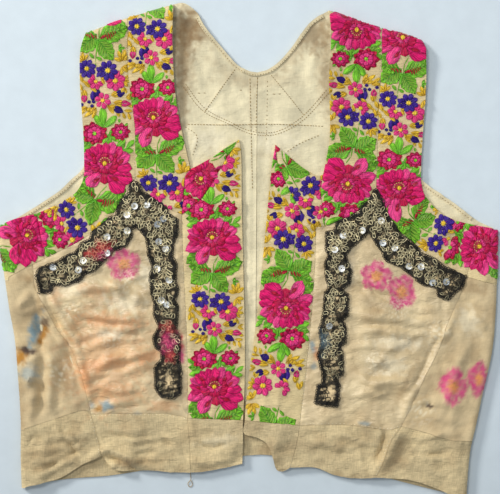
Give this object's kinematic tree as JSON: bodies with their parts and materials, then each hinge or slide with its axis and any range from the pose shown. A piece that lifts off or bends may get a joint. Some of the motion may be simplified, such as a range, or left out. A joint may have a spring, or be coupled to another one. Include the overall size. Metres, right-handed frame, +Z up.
{
  "type": "embroidered waistcoat",
  "caption": "Short sleeveless waistcoat lying flat and open, with flowered ribbon bands, satin fronts, metal-thread ornament and a linen hem.",
  "frame": {"origin": "middle of the outline on the surface that the waistcoat lies on", "axes": "+Z up from that surface, +Y towards the shoulders, +X to the right as seen from above with the shoulders away from the viewer"},
  "size_m": [0.4974, 0.4941, 0.0135],
  "materials": {
    "satin": "soft satin, creased and stained",
    "embroidered_ribbon": "flowered satin stitch on cream ribbon",
    "hem_linen": "plain weave linen",
    "back_linen": "plain weave lining",
    "metal_thread": "tarnished couched metal thread with sequins"
  },
  "bodies": {
    "root": {"back_hem_band": "hem_linen", "back_neck_binding": "back_linen", "left_applique": "metal_thread", "left_armhole_band": "embroidered_ribbon", "left_armhole_band_tail": "embroidered_ribbon", "left_armhole_binding": "back_linen", "left_back": "back_linen", "left_front_band": "embroidered_ribbon", "left_front_band_hem": "hem_linen", "left_front_hem": "hem_linen", "left_front_satin": "satin", "left_lapel_band": "embroidered_ribbon", "left_neck_band": "embroidered_ribbon", "left_shoulder_band": "embroidered_ribbon", "right_applique": "metal_thread", "right_armhole_band": "embroidered_ribbon", "right_armhole_band_tail": "embroidered_ribbon", "right_armhole_binding": "back_linen", "right_back": "back_linen", "right_front_band": "embroidered_ribbon", "right_front_band_hem": "hem_linen", "right_front_hem": "hem_linen", "right_front_satin": "satin", "right_lapel_band": "embroidered_ribbon", "right_neck_band": "embroidered_ribbon", "right_shoulder_band": "embroidered_ribbon"}
  },
  "joints": []
}
